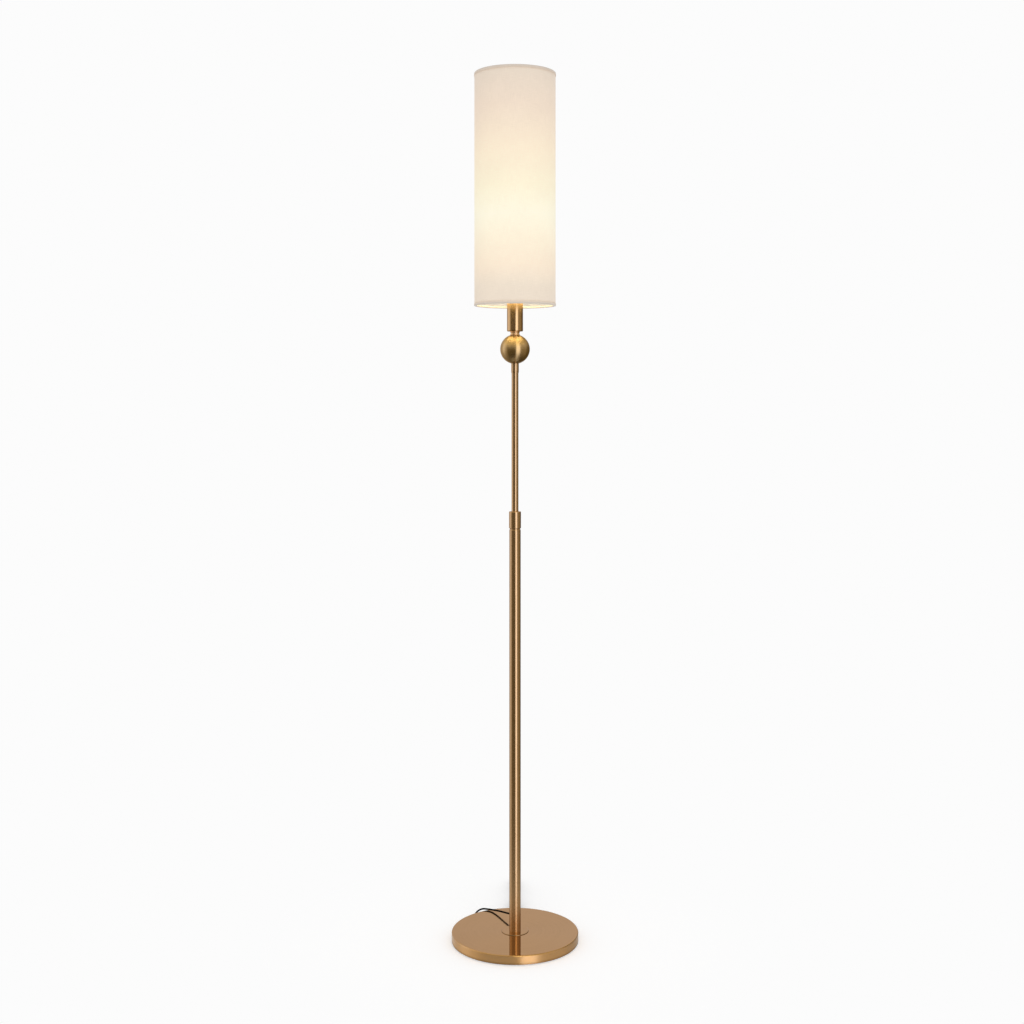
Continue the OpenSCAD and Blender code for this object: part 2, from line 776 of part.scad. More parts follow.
foot_pad();
base_plate();
base_weight();
base_skin();
fixing_nut();
fixing_washer();
base_stud();
pole_flange();
pole_insert();
lower_tube();
cord_boot();
pole_guide();
grip_ring();
lock_sleeve();
slide_bush();
upper_tube();
ball_collar();
ball_rod();
ball();
neck();
socket_sleeve();
lamp_holder();
bulb_cap();
bulb_glass();
shade_spider();
shade_ring();
shade_wire_top();
shade_liner();
shade_fabric();
hem_bottom();
hem_top();
cord();
switch_body();
switch_rocker();
cord_lead();
cord_hank();
hank_tie();
cord_tail();
plug_body();
plug_blades();
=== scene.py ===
"""The looks of the column floor lamp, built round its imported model. Metres, +Z up, front faces -Y."""

import math

import bpy
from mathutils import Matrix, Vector, noise


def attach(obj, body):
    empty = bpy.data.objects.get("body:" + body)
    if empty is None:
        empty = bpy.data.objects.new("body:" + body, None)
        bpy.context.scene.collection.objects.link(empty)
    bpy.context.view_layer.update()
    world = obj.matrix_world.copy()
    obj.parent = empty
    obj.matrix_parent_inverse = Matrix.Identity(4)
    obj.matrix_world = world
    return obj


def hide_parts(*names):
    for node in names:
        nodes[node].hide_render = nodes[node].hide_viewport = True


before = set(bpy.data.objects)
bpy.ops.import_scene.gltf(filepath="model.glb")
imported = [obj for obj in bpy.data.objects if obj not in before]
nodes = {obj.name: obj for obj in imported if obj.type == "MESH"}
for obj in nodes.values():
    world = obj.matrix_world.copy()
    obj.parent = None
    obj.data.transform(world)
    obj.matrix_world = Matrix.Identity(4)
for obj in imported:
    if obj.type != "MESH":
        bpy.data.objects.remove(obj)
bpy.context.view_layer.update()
MM = 0.001


# ---------------------------------------------------------------- camera

PHOTO_PX = 1024
SHIFT_PX = (-3, -112)
CAMERA_AT = (0, -2.56, 0.9947)


def make_camera():
    lens = bpy.data.cameras.new("camera")
    lens.lens = 48.87
    lens.sensor_width = 36
    lens.shift_x, lens.shift_y = (px / PHOTO_PX for px in SHIFT_PX)
    lens.clip_end = 200
    camera = bpy.data.objects.new("camera", lens)
    camera.location = CAMERA_AT
    camera.rotation_euler = (math.radians(90), 0, 0)
    bpy.context.scene.collection.objects.link(camera)
    bpy.context.scene.camera = camera


make_camera()
bpy.context.scene.view_settings.view_transform = "Standard"


# ---------------------------------------------------------------- node helpers


class Nodes:
    """Short calls that build the nodes of one shader tree. A value that feeds a node can be a socket too."""

    def __init__(self, tree):
        self.tree = tree
        self.tree.nodes.clear()
        self.place = None

    def new(self, kind):
        return self.tree.nodes.new("ShaderNode" + kind)

    def feed(self, value, socket):
        if value is None:
            return
        if isinstance(value, bpy.types.NodeSocket):
            self.tree.links.new(value, socket)
        else:
            socket.default_value = value

    def node(self, kind, *feeds, **settings):
        """A node's first output. The feeds go to its inputs in their order."""
        made = self.new(kind)
        for key, value in settings.items():
            setattr(made, key, value)
        for socket, feed in zip(made.inputs, feeds):
            self.feed(feed, socket)
        return made.outputs[0]

    def math(self, operation, *feeds):
        return self.node("Math", *feeds, operation=operation)

    def axes(self):
        """x, y and z in the object's own space, which is the lamp's frame at rest."""
        if self.place is None:
            split = self.new("SeparateXYZ")
            self.feed(self.new("TexCoord").outputs["Object"], split.inputs[0])
            self.place = split.outputs
        return self.place

    def from_axis(self):
        """The distance from the Z axis."""
        x, y, _ = self.axes()
        return self.math("SQRT", self.math("ADD", self.math("MULTIPLY", x, x), self.math("MULTIPLY", y, y)))

    def round_axis(self, radius):
        """The distance walked round the Z axis at that radius."""
        x, y, _ = self.axes()
        return self.math("MULTIPLY", self.math("ARCTAN2", y, x), radius)

    def noise(self, vector, scale, detail, rough=0.5):
        made = self.new("TexNoise")
        self.feed(vector, made.inputs["Vector"])
        made.inputs["Scale"].default_value = scale
        made.inputs["Detail"].default_value = detail
        made.inputs["Roughness"].default_value = rough
        return made.outputs["Fac"]

    def vector(self, x, y, z):
        return self.node("CombineXYZ", x, y, z)

    def scaled(self, x, y, z, by):
        """The vector x, y, z with each part times its own number."""
        return self.vector(*[self.math("MULTIPLY", v, k) for v, k in zip((x, y, z), by)])

    def times(self, colour, by):
        """The whole colour times one number."""
        made = self.node("VectorMath", colour, operation="SCALE")
        self.feed(by, made.node.inputs["Scale"])
        return made

    def ramp(self, fac, *stops):
        """A colour ramp. Each stop is a position and a colour or a grey level."""
        made = self.new("ValToRGB")
        self.feed(fac, made.inputs[0])
        elements = made.color_ramp.elements
        while len(elements) < len(stops):
            elements.new(0.5)
        for element, (at, colour) in zip(elements, stops):
            element.position = at
            element.color = (*colour, 1) if hasattr(colour, "__len__") else (colour, colour, colour, 1)
        return made.outputs[0]

    def spread(self, fac, low, high, to_low, to_high):
        """The range low..high mapped to to_low..to_high and held at its ends."""
        return self.node("MapRange", fac, low, high, to_low, to_high)

    def mix(self, fac, a, b):
        made = self.new("Mix")
        made.data_type = "RGBA"
        self.feed(fac, made.inputs[0])
        for socket, value in ((made.inputs[6], a), (made.inputs[7], b)):
            self.feed((*value, 1) if isinstance(value, tuple) else value, socket)
        return made.outputs[2]


class Shader(Nodes):
    """A material with one Principled BSDF, whose sockets are named with underscores for spaces."""

    def __init__(self, name, **values):
        self.material = bpy.data.materials.new(name)
        self.material.use_nodes = True
        super().__init__(self.material.node_tree)
        self.out = self.new("OutputMaterial")
        self.bsdf = self.new("BsdfPrincipled")
        self.feed(self.bsdf.outputs[0], self.out.inputs["Surface"])
        for socket, value in values.items():
            self.set(socket.replace("_", " "), value)

    def set(self, socket, value):
        self.feed(value, self.bsdf.inputs[socket])

    def bump(self, height, distance):
        made = self.new("Bump")
        made.inputs["Strength"].default_value = 1.0
        made.inputs["Distance"].default_value = distance
        self.feed(height, made.inputs["Height"])
        self.set("Normal", made.outputs[0])


def paint(shader, *names):
    for name in names:
        mesh = nodes[name].data
        mesh.materials.clear()
        mesh.materials.append(shader.material)


# ---------------------------------------------------------------- metals

RING_GRAIN_R = 0.03


def brass(name, light, dark, rough, stretch, plate=None):
    """Lathe-brushed brass: fine rings round the lamp's axis, which draw each reflection out across them."""
    s = Shader(name, Metallic=1.0, Anisotropic=stretch, Anisotropic_Rotation=0.25,
               Specular_Tint=(0.78, 0.71, 0.62, 1))
    turn, z, reach = s.round_axis(RING_GRAIN_R), s.axes()[2], s.from_axis()
    fine = s.noise(s.scaled(turn, z, reach, (90, 2600, 2600)), 1, 2)
    broad = s.noise(s.scaled(turn, z, reach, (30, 420, 420)), 1, 3)
    cloud = s.noise(s.vector(*s.axes()), 14, 4, 0.6)
    tone = s.math("ADD", s.math("MULTIPLY", broad, 0.5), s.math("MULTIPLY", cloud, 0.5))
    uneven = s.math("ADD", fine, s.math("MULTIPLY", cloud, 0.6))
    colour = s.ramp(tone, (0.32, dark), (0.62, light))
    roughness = s.spread(uneven, 0.5, 1.1, *rough)
    if plate:
        colour, roughness = plate_finish_and_painted_shade(s, colour, roughness, uneven, **plate)
    s.set("Base Color", colour)
    s.set("Roughness", roughness)
    s.set("Tangent", s.node("Tangent", direction_type="RADIAL", axis="Z"))
    s.bump(s.math("ADD", fine, s.math("MULTIPLY", broad, 0.4)), 0.0000008)
    return s


def plate_finish_and_painted_shade(s, colour, roughness, uneven, top_rough, wall, fillet):
    """The colour and roughness of a turned plate, which has a smoother flat top and a lacquered wall.

    The wall has its own colour. It begins at the first radius of the fillet, which ends at the second. Its
    colour is painted darker on the fillet and near the floor, as painted shade, and its lacquer thins out
    near the floor.
    """
    across_fillet = s.spread(s.from_axis(), *fillet, 0, 1)
    side = s.spread(across_fillet, 0.02, 0.3, 0, 1)
    # edge paints shade over the fillet and foot paints shade near the floor; foot also thins the lacquer coat
    # there.
    edge = s.ramp(across_fillet, (0.1, 1.0), (0.35, 0.7), (0.8, 0.7), (0.98, 1.0))
    foot = s.ramp(s.spread(s.axes()[2], 0, 0.006, 0, 1), (0.0, 0.3), (0.35, 0.62), (1.0, 1.0))
    wall_colour_with_painted_shade = s.times(wall, s.math("MULTIPLY", edge, foot))
    top_roughness = s.spread(uneven, 0.5, 1.1, *top_rough)
    rougher = s.math("MULTIPLY", side, s.math("SUBTRACT", roughness, top_roughness))
    s.set("Coat Roughness", 0.16)
    s.set("Coat IOR", 2.0)
    s.set("Coat Weight", s.math("MULTIPLY", s.math("MULTIPLY", side, foot), 0.7))
    return s.mix(side, colour, wall_colour_with_painted_shade), s.math("ADD", top_roughness, rougher)


PLATE_LIGHT, PLATE_DARK = (0.465, 0.282, 0.141), (0.435, 0.262, 0.129)
BASE_PLATE = dict(top_rough=(0.07, 0.11), wall=(0.58, 0.31, 0.085), fillet=(0.1150, 0.1165))
# The flange's wall is painted much darker than its top, as painted shade that hides the reflection its rim
# would show.
POLE_PLATE = dict(top_rough=(0.07, 0.11), wall=(0.26, 0.15, 0.06), fillet=(0.0244, 0.0250))
BASE_BRASS = brass("brushed_brass_base", PLATE_LIGHT, PLATE_DARK, (0.30, 0.36), 0.9, BASE_PLATE)
FLANGE_BRASS = brass("brushed_brass_flange", PLATE_LIGHT, PLATE_DARK, (0.30, 0.36), 0.9, POLE_PLATE)
# The neck's brass is painted nearly twice as light as the pole's. This is painted light that makes up for the
# shade the ball and sleeve cast on it.
NECK_BRASS_PAINTED_LIGHT = brass("satin_brass_neck_painted_light", (0.90, 0.62, 0.335), (0.86, 0.59, 0.315), (0.46, 0.52), 0.6)
POLE_BRASS = brass("brushed_brass_pole", (0.50, 0.330, 0.177), (0.48, 0.315, 0.167), (0.22, 0.27), 0.9)
BALL_BRASS = brass("satin_brass_ball", (0.48, 0.330, 0.155), (0.45, 0.307, 0.140), (0.27, 0.32), 0.88)
SLEEVE_BRASS = brass("brushed_brass_sleeve", (0.53, 0.345, 0.168), (0.51, 0.330, 0.158), (0.15, 0.19), 0.9)
paint(BASE_BRASS, "base_skin")
paint(FLANGE_BRASS, "pole_flange")
paint(POLE_BRASS, "lower_tube", "pole_guide", "lock_sleeve", "upper_tube", "ball_collar")
paint(SLEEVE_BRASS, "socket_sleeve")
paint(BALL_BRASS, "ball")
paint(NECK_BRASS_PAINTED_LIGHT, "neck")


def metal(name, colour, rough):
    """Plain metal with a fine uneven grain."""
    s = Shader(name, Metallic=1.0)
    grain = s.noise(s.vector(*s.axes()), 260, 4, 0.6)
    s.set("Base Color", s.ramp(grain, (0.3, tuple(0.8 * c for c in colour)), (0.7, colour)))
    s.set("Roughness", s.spread(grain, 0.3, 0.7, rough, rough + 0.14))
    s.bump(grain, 0.00002)
    return s


ZINC = metal("zinc_steel", (0.62, 0.62, 0.64), 0.3)
CAST = metal("base_iron", (0.12, 0.12, 0.125), 0.6)
CAP = metal("cap_metal", (0.72, 0.71, 0.70), 0.22)
BLADE = metal("plug_blade", (0.75, 0.62, 0.36), 0.2)
paint(ZINC, "base_plate", "fixing_nut", "fixing_washer", "base_stud", "pole_insert", "ball_rod")
paint(CAST, "base_weight")
paint(CAP, "bulb_cap")
paint(BLADE, "plug_blades")


# ---------------------------------------------------------------- plastics and rubber


def plastic(name, colour, rough, rings=0, level=0.5):
    """Moulded plastic with a fine spark-eroded texture, and rings of that pitch in metres if it is ribbed."""
    s = Shader(name, Specular_IOR_Level=level)
    fine = s.noise(s.vector(*s.axes()), 900, 3, 0.6)
    cloud = s.noise(s.vector(*s.axes()), 40, 3)
    s.set("Base Color", s.ramp(cloud, (0.3, tuple(0.9 * c for c in colour)), (0.7, colour)))
    s.set("Roughness", s.spread(fine, 0.3, 0.7, rough - 0.05, rough + 0.08))
    height = fine
    if rings:
        wave = s.math("SINE", s.math("MULTIPLY", s.axes()[1], 2 * math.pi / rings))
        height = s.math("ADD", s.math("MULTIPLY", wave, 12), fine)
    s.bump(height, 0.00001)
    return s


CORD_BLACK = plastic("cord_black", (0.006, 0.004, 0.003), 0.7, level=0.05)
SWITCH_BLACK = plastic("switch_black", (0.020, 0.019, 0.019), 0.38)
ROCKER_BLACK = plastic("rocker_black", (0.045, 0.043, 0.043), 0.3)
BOOT_BLACK = plastic("boot_black", (0.022, 0.020, 0.020), 0.45, rings=0.0036)
NYLON = plastic("nylon", (0.78, 0.77, 0.73), 0.4)
HOLDER_WHITE = plastic("holder_white", (0.82, 0.81, 0.78), 0.35)
WIRE_WHITE = plastic("white_wire", (0.80, 0.79, 0.76), 0.32)
paint(SWITCH_BLACK, "switch_body", "plug_body")
paint(ROCKER_BLACK, "switch_rocker")
paint(BOOT_BLACK, "cord_boot")
paint(NYLON, "grip_ring", "slide_bush")
paint(HOLDER_WHITE, "lamp_holder", "shade_ring")
paint(WIRE_WHITE, "shade_spider", "shade_wire_top")


# ---------------------------------------------------------------- mesh helpers


def add_object(name, mesh, shader, body, replaced, smooth=True):
    """A piece that rides on a body and stands for a CAD node."""
    if smooth:
        for face in mesh.polygons:
            face.use_smooth = True
    mesh.materials.append(shader.material)
    made = bpy.data.objects.new(name, mesh)
    bpy.context.scene.collection.objects.link(made)
    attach(made, body)
    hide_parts(replaced)
    return made


def grid_mesh(name, rows, around=True):
    """A mesh over rows of points. around closes each row on itself."""
    width = len(rows[0])
    points = [p for row in rows for p in row]
    last = width if around else width - 1
    faces = [
        (j * width + i, j * width + (i + 1) % width, (j + 1) * width + (i + 1) % width, (j + 1) * width + i)
        for j in range(len(rows) - 1)
        for i in range(last)
    ]
    mesh = bpy.data.meshes.new(name)
    mesh.from_pydata(points, [], faces)
    return mesh


def turned(name, profile, steps, pucker=None):
    """A closed ring: the profile's points (radius, height) turned about the Z axis."""
    rows = []
    for radius, z in profile + profile[:1]:
        row = []
        for i in range(steps):
            angle = 2 * math.pi * i / steps
            r = radius + pucker(angle, z) if pucker else radius
            row.append((r * math.cos(angle), r * math.sin(angle), z))
        rows.append(row)
    mesh = grid_mesh(name, rows)
    mesh.flip_normals()
    return mesh


def eased(t):
    """0 to 1 with a soft start and end."""
    return t * t * (3 - 2 * t)


# ---------------------------------------------------------------- cord, in millimetres

CORD_ROUTE = [
    (0, 28, 34), (-1, 36, 33.2), (-5.5, 45, 31.3), (-12, 54, 29.2), (-20, 66, 26.8),
    (-28, 78, 24.4), (-36, 89, 22), (-44, 97.5, 20.2), (-54, 103.5, 19.4), (-63, 105.3, 18.9),
    (-70.5, 107, 14.8), (-75, 111.5, 8.8), (-76, 118.2, 3.8), (-72.5, 123.6, 1.9),
    (-66, 125, 1.8), (-60, 123, 3.2), (-53.8, 121.9, 5),
]
LEAD_ROUTE = [
    (-2.3, 129.1, 5), (2.4, 130, 4.4), (6.8, 133.4, 2.9), (9.1, 138.6, 1.8), (9.5, 145, 1.6), (9.5, 152, 1.6),
]
TAIL_ROUTE = [
    (9.5, 152, 16.8), (9.3, 162, 17), (7.4, 174, 17.7), (5, 186, 18.9), (2.6, 199, 20.2),
    (0.8, 212, 21.4), (0, 224, 21.9), (0, 232, 21.9),
]
CORD_D = 3.2
ROUTE_STEPS = 6
HANK_LOOPS, HANK_FOLD, HANK_RUN, HANK_Y, HANK_Z = 4, 9.5, 154, 152, 1.6
HANK_STEP, HANK_WAIST, HANK_LIFT = 3.8, 2.2, 1.2
LOOP_STEPS = 96
TIE_Y, TIE_THICK, TIE_CORNER = 229, 0.8, 2.4
TIE_HALF_X, TIE_LOW, TIE_HIGH = 5.15, 0.15, 16.85
TIE_EDGE_Y, TIE_FACE_Y, TIE_CROWN = 4.9, 4.6, 0.12
CORNER_STEPS = 8


def smooth_line(route):
    """The same curve through points as the solids follow."""
    p = [Vector(q) for q in route]
    p = [2 * p[0] - p[1]] + p + [2 * p[-1] - p[-2]]
    line = []
    for a, b, c, d in zip(p, p[1:], p[2:], p[3:]):
        for k in range(ROUTE_STEPS):
            t = k / ROUTE_STEPS
            second = 2 * a - 5 * b + 4 * c - d
            third = 3 * b - a - 3 * c + d
            line.append(0.5 * (2 * b + (c - a) * t + second * t * t + third * t**3))
    return line + [p[-2]]


def hank_point(u):
    """The hank's middle line, u in loops: a run away from the lamp, a fold, a run back, a fold.

    The tie draws each run in towards the middle and lifts it. The way back climbs to the next level.
    """
    loop = math.floor(u)
    quarter = 4 * (u - loop)
    t = quarter - math.floor(quarter)
    z = HANK_Z + HANK_STEP * loop
    drawn = math.sin(math.pi * t) ** 2
    run_x = HANK_FOLD - (HANK_FOLD - HANK_WAIST) * drawn
    fold_x = HANK_FOLD * math.cos(math.pi * t)
    fold_y = HANK_FOLD * math.sin(math.pi * t)
    if quarter < 1:
        return Vector((run_x, HANK_Y + HANK_RUN * t, z + HANK_LIFT * drawn))
    if quarter < 2:
        return Vector((fold_x, HANK_Y + HANK_RUN + fold_y, z))
    if quarter < 3:
        climb = HANK_STEP * eased(max(0, 2 * t - 1))
        return Vector((-run_x, HANK_Y + HANK_RUN * (1 - t), z + climb + HANK_LIFT * drawn))
    return Vector((-fold_x, HANK_Y - fold_y, z + HANK_STEP))


def make_cord():
    """One lead: down to the base's rim, through the switch, round the hank and on to the plug."""
    hank = [hank_point(i / LOOP_STEPS) for i in range(HANK_LOOPS * LOOP_STEPS)]
    line = smooth_line(CORD_ROUTE) + smooth_line(LEAD_ROUTE)[:-1] + hank + smooth_line(TAIL_ROUTE)
    data = bpy.data.curves.new("lead", "CURVE")
    data.dimensions = "3D"
    data.bevel_depth = CORD_D / 2 * MM
    data.bevel_resolution = 5
    data.use_fill_caps = True
    spline = data.splines.new("POLY")
    spline.points.add(len(line) - 1)
    for point, place in zip(spline.points, line):
        point.co = (*(place * MM), 1)
    spline.use_smooth = True
    data.materials.append(CORD_BLACK.material)
    made = bpy.data.objects.new("lead", data)
    bpy.context.scene.collection.objects.link(made)
    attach(made, "base")
    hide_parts("cord", "cord_lead", "cord_hank", "cord_tail")
    length = sum((b - a).length for a, b in zip(line, line[1:])) * MM
    return made, length


def make_tie():
    """The tie: a soft strap wrapped once round the hank, with rounded corners and thinner edges."""
    x, low, high = TIE_HALF_X - TIE_CORNER, TIE_LOW + TIE_CORNER, TIE_HIGH - TIE_CORNER
    path = []
    for corner_x, corner_z, start in ((x, low, -90), (x, high, 0), (-x, high, 90), (-x, low, 180)):
        for k in range(CORNER_STEPS + 1):
            angle = math.radians(start + 90 * k / CORNER_STEPS)
            path.append((corner_x, corner_z, math.cos(angle), math.sin(angle)))
    section = [
        (0, -TIE_EDGE_Y), (TIE_CROWN, -TIE_FACE_Y), (TIE_CROWN, TIE_FACE_Y), (0, TIE_EDGE_Y),
        (-TIE_THICK, TIE_EDGE_Y), (-TIE_THICK, -TIE_EDGE_Y),
    ]
    rows = []
    for corner_x, corner_z, across, up in path + path[:1]:
        row = []
        for out, y in section:
            reach = TIE_CORNER + out - TIE_CROWN
            row.append(((corner_x + reach * across) * MM, (TIE_Y + y) * MM, (corner_z + reach * up) * MM))
        rows.append(row)
    mesh = grid_mesh("hank_strap", rows)
    return add_object("hank_strap", mesh, CORD_BLACK, "base", "hank_tie")


lead, lead_length = make_cord()
strap = make_tie()


# ---------------------------------------------------------------- shade

SHADE_FOOT, SHADE_TOP = 1.16768, 1.59568
SHADE_H = SHADE_TOP - SHADE_FOOT
SHADE_R = 0.075
THREAD = 0.00055
CLOTH_R = 0.07475
CLOTH_H = SHADE_H - 0.001
CLOTH_THICK = 0.0004
CLOTH_OVERLAP = 0.012
CLOTH_STEP_UP = 0.0002
CLOTH_STEP_TURN = 0.03
SHADE_STEPS = 288

CLOTH_GLOW = (
    (0.0, (0.22, 0.138, 0.068)), (0.08, (0.25, 0.168, 0.083)), (0.17, (0.35, 0.238, 0.113)),
    (0.28, (0.38, 0.308, 0.166)), (0.38, (0.39, 0.368, 0.226)), (0.50, (0.37, 0.314, 0.145)),
    (0.66, (0.35, 0.242, 0.10)), (0.84, (0.255, 0.142, 0.055)), (1.0, (0.165, 0.09, 0.03)),
)
HEM_GLOW = (
    (0.0, (0.02, 0.01, 0.0)), (0.004, (0.05, 0.03, 0.015)), (0.006, (0.17, 0.11, 0.06)),
    (0.99, (0.12, 0.06, 0.02)), (1.0, (0.04, 0.02, 0.01)),
)
LINER_GLOW = (
    (0.0, (0.08, 0.08, 0.08)), (0.18, (0.13, 0.12, 0.10)), (0.38, (0.5, 0.44, 0.32)),
    (0.62, (0.35, 0.30, 0.20)), (1.0, (0.20, 0.16, 0.10)),
)
BULB_GLOW = ((0.0, (1, 0.73, 0.49)), (0.35, (1, 0.78, 0.58)), (1.0, (1, 0.83, 0.68)))
BULB_FOOT, BULB_TOP = 1.28, 1.3617


def up_the_shade(s):
    """0 at the shade's foot and 1 at its top."""
    return s.spread(s.axes()[2], SHADE_FOOT, SHADE_TOP, 0, 1)


def cloth(name, base, glow):
    """Plain-woven linen lit from inside: glow is the light that comes through, from the foot to the top."""
    s = Shader(name, Roughness=0.85, Sheen_Weight=0.25, Sheen_Roughness=0.5, Specular_IOR_Level=0.25,
               Emission_Strength=1.0)
    turn, z = s.round_axis(SHADE_R), s.axes()[2]
    warp = s.math("SINE", s.math("MULTIPLY", turn, math.pi / THREAD))
    weft = s.math("SINE", s.math("MULTIPLY", z, math.pi / THREAD))
    weave = s.math("MULTIPLY", warp, weft)
    across = s.noise(s.scaled(turn, z, z, (70, 1700, 0)), 1, 3, 0.6)
    along = s.noise(s.scaled(turn, z, z, (1700, 55, 0)), 1, 3, 0.6)
    slubs = s.math("MULTIPLY", s.math("ADD", across, along), 0.5)
    patch = s.noise(s.vector(*s.axes()), 22, 3)
    tone = s.math("ADD", s.math("MULTIPLY", slubs, 0.8), s.math("MULTIPLY", patch, 0.2))
    s.set("Base Color", s.ramp(tone, (0.36, tuple(0.90 * c for c in base)), (0.62, base)))
    thin = s.spread(s.math("ADD", s.math("MULTIPLY", weave, 0.02), tone), 0.36, 0.64, 0.93, 1.03)
    s.set("Emission Color", s.times(s.ramp(up_the_shade(s), *glow), thin))
    s.bump(s.math("ADD", s.math("MULTIPLY", weave, 0.5), s.math("MULTIPLY", slubs, 2.5)), 0.00006)
    return s


LINEN = cloth("linen", (0.72, 0.68, 0.62), CLOTH_GLOW)
HEM = cloth("hem", (0.66, 0.60, 0.53), HEM_GLOW)


def make_fabric():
    """One strip of cloth wrapped round the liner, its end glued over its start at the back."""
    rows_up = 44
    overlap = CLOTH_OVERLAP / CLOTH_R
    rows = []
    for j in range(rows_up + 1):
        z = SHADE_FOOT + 0.0005 + CLOTH_H * j / rows_up
        row = []
        for i in range(SHADE_STEPS + 1):
            way = (2 * math.pi + overlap) * i / SHADE_STEPS
            over = max(0.0, min(1.0, (way - 2 * math.pi + CLOTH_STEP_TURN) / CLOTH_STEP_TURN))
            angle = math.pi / 2 + way - overlap / 2
            ripple = 0.00004 * noise.noise(Vector((4 * math.cos(angle), 4 * math.sin(angle), 9 * z)))
            r = CLOTH_R + CLOTH_STEP_UP * eased(over) + ripple
            row.append((r * math.cos(angle), r * math.sin(angle), z))
        rows.append(row)
    mesh = grid_mesh("shade_cloth", rows, around=False)
    made = add_object("shade_cloth", mesh, LINEN, "upper", "shade_fabric")
    thickness = made.modifiers.new("thickness", "SOLIDIFY")
    thickness.thickness = CLOTH_THICK
    thickness.offset = -1


# Radius and distance from the shade's edge, in mm: along the outside to the edge, across it, round the
# inside of the wire, and back behind the strip.
HEM_PROFILE = [
    (75.02, 5.0), (75.3, 5.0), (75.36, 4.9), (75.4, 3.9), (75.38, 2.6), (75.4, 1.2), (75.25, 0.4),
    (74.9, 0.06), (74, 0), (72, 0), (70.8, 0.05), (70.35, 0.4), (69.75, 1.2), (69.75, 1.6),
    (70.05, 1.6), (70.15, 0.9), (71, 0.35), (74.6, 0.36), (75.02, 0.7),
]


def hem_pucker(angle, z):
    """How much a hem's radius changes there, in metres: it is drawn in a little everywhere, but unevenly."""
    depth = 0.00003
    return depth * noise.noise(Vector((30 * math.cos(angle), 30 * math.sin(angle), z * 150))) - depth


def make_hem(name, edge, inward, replaced):
    """A bias strip folded over the shade's edge and its wire. inward is 1 at the foot and -1 at the top."""
    profile = [(r * MM, edge + inward * h * MM) for r, h in HEM_PROFILE]
    mesh = turned(name, profile, SHADE_STEPS, hem_pucker)
    if inward < 0:
        mesh.flip_normals()
    add_object(name, mesh, HEM, "upper", replaced)


def make_liner():
    """The stiff white liner, lit by the bulb: brightest beside it."""
    s = Shader("liner", Roughness=0.55, Emission_Strength=1.0)
    grain = s.noise(s.vector(*s.axes()), 500, 3)
    s.set("Base Color", s.ramp(grain, (0.3, (0.74, 0.73, 0.69)), (0.7, (0.78, 0.77, 0.73))))
    s.set("Emission Color", s.ramp(up_the_shade(s), *LINER_GLOW))
    s.bump(grain, 0.00001)
    paint(s, "shade_liner")


def make_bulb():
    """Opal glass that is lit, a little warmer near its cap."""
    s = Shader("bulb_glass", Roughness=0.25, Base_Color=(0.9, 0.88, 0.82, 1), Coat_Weight=0.6,
               Emission_Strength=6.2)
    height = s.spread(s.axes()[2], BULB_FOOT, BULB_TOP, 0, 1)
    s.set("Emission Color", s.ramp(height, *BULB_GLOW))
    paint(s, "bulb_glass")


make_fabric()
make_hem("hem_strip_bottom", SHADE_FOOT, 1, "hem_bottom")
make_hem("hem_strip_top", SHADE_TOP, -1, "hem_top")
make_liner()
make_bulb()


# ---------------------------------------------------------------- felt under the base

FELT_INNER, FELT_OUTER, FELT_TOP, FELT_ROUND, FELT_LOW = 94.5, 110.5, 1.5, 0.3, 0.02


def make_felt():
    s = Shader("felt", Roughness=0.95, Sheen_Weight=0.5, Sheen_Roughness=0.6)
    fuzz = s.noise(s.vector(*s.axes()), 1500, 4, 0.7)
    s.set("Base Color", s.ramp(fuzz, (0.3, (0.012, 0.012, 0.012)), (0.75, (0.045, 0.043, 0.041))))
    s.bump(fuzz, 0.0002)
    profile = [
        (FELT_INNER, FELT_ROUND), (FELT_INNER + FELT_ROUND, FELT_LOW), (FELT_OUTER - FELT_ROUND, FELT_LOW),
        (FELT_OUTER, FELT_ROUND), (FELT_OUTER, FELT_TOP), (FELT_INNER, FELT_TOP),
    ]
    mesh = turned("felt_ring", [(r * MM, z * MM) for r, z in profile], 192)
    add_object("felt_ring", mesh, s, "base", "foot_pad", smooth=False)


make_felt()


# ---------------------------------------------------------------- floor

WHITE = (0.973, 0.973, 0.973)
FLOOR_HALF = 90
FADE_START, FADE_END = 0.16, 0.45
CLEAR_START, CLEAR_END, CLEAR_LEAST = 0.1, 0.6, 0.45


def seen_directly(s, path):
    """1 for a ray that comes straight from the lens or through a clear piece, from a Light Path's outputs."""
    return s.math("MAXIMUM", path["Is Camera Ray"], path["Is Transmission Ray"])


def make_floor():
    """A pale floor that keeps the lamp's shadow near the base and is plain white further out.

    Reflections look through it more and more with the distance, so the metal sees the studio below.
    """
    mesh = bpy.data.meshes.new("floor")
    h = FLOOR_HALF
    mesh.from_pydata([(-h, -h, 0), (h, -h, 0), (h, h, 0), (-h, h, 0)], [], [(0, 1, 2, 3)])
    s = Shader("floor", Roughness=1.0, Specular_IOR_Level=0, Base_Color=(0.9, 0.9, 0.9, 1),
               Emission_Color=(1, 1, 1, 1), Emission_Strength=0.33)
    path = s.new("LightPath").outputs
    far = s.from_axis()
    plain = s.node("Emission", (*WHITE, 1))
    plainer = s.math("MULTIPLY", seen_directly(s, path), s.spread(far, FADE_START, FADE_END, 0, 1))
    clearer = s.math("MULTIPLY", path["Is Glossy Ray"], s.spread(far, CLEAR_START, CLEAR_END, CLEAR_LEAST, 1))
    surface = s.node("MixShader", plainer, s.bsdf.outputs[0], plain)
    surface = s.node("MixShader", clearer, surface, s.node("BsdfTransparent"))
    s.feed(surface, s.out.inputs["Surface"])
    mesh.materials.append(s.material)
    floor = bpy.data.objects.new("floor", mesh)
    bpy.context.scene.collection.objects.link(floor)


make_floor()


# ---------------------------------------------------------------- studio

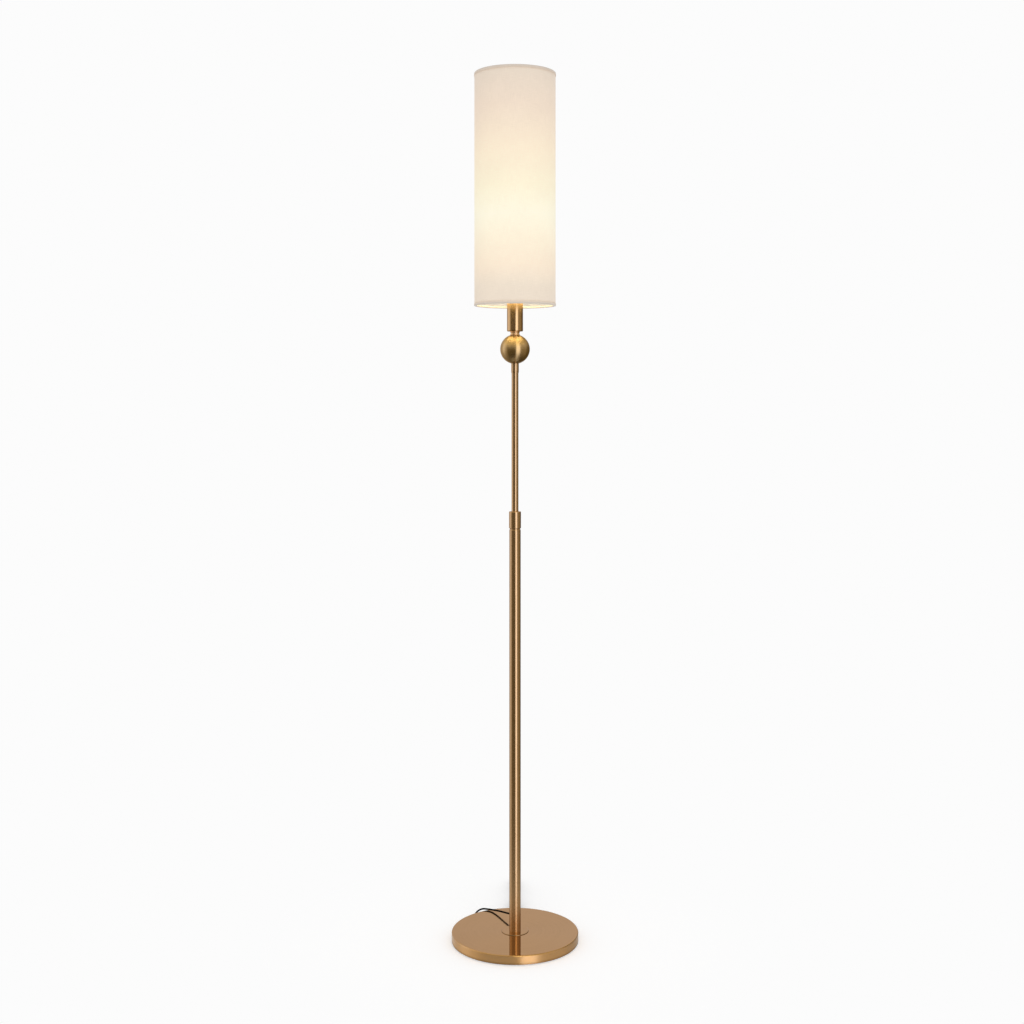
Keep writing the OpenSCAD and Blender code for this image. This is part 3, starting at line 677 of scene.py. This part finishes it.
# What the metal sees round the lamp: the angle in degrees from the photographer's side, turning to the right,
# and how bright it is there. There is a tall soft box beside the lens, a narrow one on the left, and dark
# flags between them. Near the floor the left box fades. Higher up there are no dark flags, and further up
# all turns golden.
STUDIO = (
    (-180, 1.0), (-166, 0.8), (-118, 0.8), (-112, 1.4), (-92, 1.4), (-84, 0.9), (-72, 0.65), (-60, 0.16),
    (-20, 0.09), (0, 0.14), (8, 0.2), (13, 2.3), (36, 2.3), (44, 0.8), (54, 0.42), (100, 0.36), (112, 0.18),
    (164, 0.18), (171, 1.0), (180, 1.0),
)
STUDIO_BELOW = (
    (-180, 1.0), (-166, 0.6), (-118, 0.5), (-112, 0.65), (-92, 0.65), (-84, 0.5), (-72, 0.4), (-60, 0.18),
    (-20, 0.14), *STUDIO[9:],
)
STUDIO_ABOVE = (
    (-180, 1.0), (-166, 0.9), (-118, 1.0), (-112, 1.5), (-92, 1.5), (-84, 1.35), (-72, 1.2), (-60, 1.0),
    (-20, 0.97), (0, 1.0), (8, 1.1), (13, 2.6), (36, 2.6), (44, 1.2), (54, 1.05), (100, 1.0), (112, 0.8),
    (164, 0.7), (171, 1.0), (180, 1.0),
)
FLAG_TINT, BOX_TINT = (1.0, 0.72, 0.18), (0.95, 0.95, 1.06)
OVERHEAD_TINT = (1.0, 0.86, 0.45)
GREY = (0.62, 0.62, 0.62)
FULL_LEVEL = 5


def tinted(level):
    """The flags are warm and the boxes a little cool."""
    bright = min(1.0, level)
    return tuple(level * (flag + (box - flag) * bright) for flag, box in zip(FLAG_TINT, BOX_TINT))


def studio_ring(s, part, table):
    """A ramp round the lamp. It is held within 0 to 1, so it is divided by the full level here."""
    stops = []
    for angle, level in table:
        stops.append(((angle + 180) / 360, tuple(v / FULL_LEVEL for v in tinted(level))))
    return s.ramp(part, *stops)


def make_world():
    """The camera sees plain white, glossy rays the studio, and all other rays an even grey.

    up is the sine of the direction's angle above the horizon.
    """
    world = bpy.data.worlds.new("studio")
    bpy.context.scene.world = world
    world.use_nodes = True
    s = Nodes(world.node_tree)
    way = s.new("SeparateXYZ")
    s.feed(s.new("TexCoord").outputs["Generated"], way.inputs[0])
    x, y, up = way.outputs
    part = s.spread(s.math("ARCTAN2", x, s.math("MULTIPLY", y, -1.0)), -math.pi, math.pi, 0, 1)
    below, level, above = [studio_ring(s, part, table) for table in (STUDIO_BELOW, STUDIO, STUDIO_ABOVE)]
    studio = s.mix(s.spread(up, -0.36, -0.12, 1, 0), level, below)
    studio = s.mix(s.spread(up, 0.12, 0.40, 0, 1), studio, above)
    golden = s.mix(s.spread(up, 0.36, 0.56, 0, 1), (1.0, 1.0, 1.0), OVERHEAD_TINT)
    studio = s.node("VectorMath", studio, golden, operation="MULTIPLY")
    strength = s.spread(up, -0.75, -0.40, 2.0, FULL_LEVEL)
    strength = s.math("ADD", strength, s.spread(up, 0.4, 0.9, 0, 0.5))
    path = s.new("LightPath").outputs
    light = s.mix(seen_directly(s, path), GREY, WHITE)
    light = s.mix(path["Is Glossy Ray"], light, s.times(studio, strength))
    s.feed(s.node("Background", light), s.new("OutputWorld").inputs["Surface"])


make_world()


# ---------------------------------------------------------------- lights


def add_light(name, kind, energy, place, aim, colour=(1, 1, 1), **settings):
    data = bpy.data.lights.new(name, kind)
    data.energy = energy
    data.color = colour
    for key, value in settings.items():
        setattr(data, key, value)
    lamp = bpy.data.objects.new(name, data)
    lamp.location = place
    lamp.rotation_euler = (Vector(aim) - Vector(place)).to_track_quat("-Z", "Y").to_euler()
    bpy.context.scene.collection.objects.link(lamp)
    return lamp


def make_lights():
    """A soft key from the front, and the lit shade's light on the sleeve and ball, which moves with it."""
    key = add_light("key", "SUN", 0.52, (0.25, -3, 3.2), (0, 0, 0.8), angle=math.radians(50))
    key.visible_glossy = False
    glow = add_light("glow", "AREA", 0.08, (0, 0, SHADE_FOOT + 0.006), (0, 0, 0), (1, 0.8, 0.36),
                     shape="DISK", size=0.14)
    glow.visible_camera = False
    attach(glow, "upper")


make_lights()
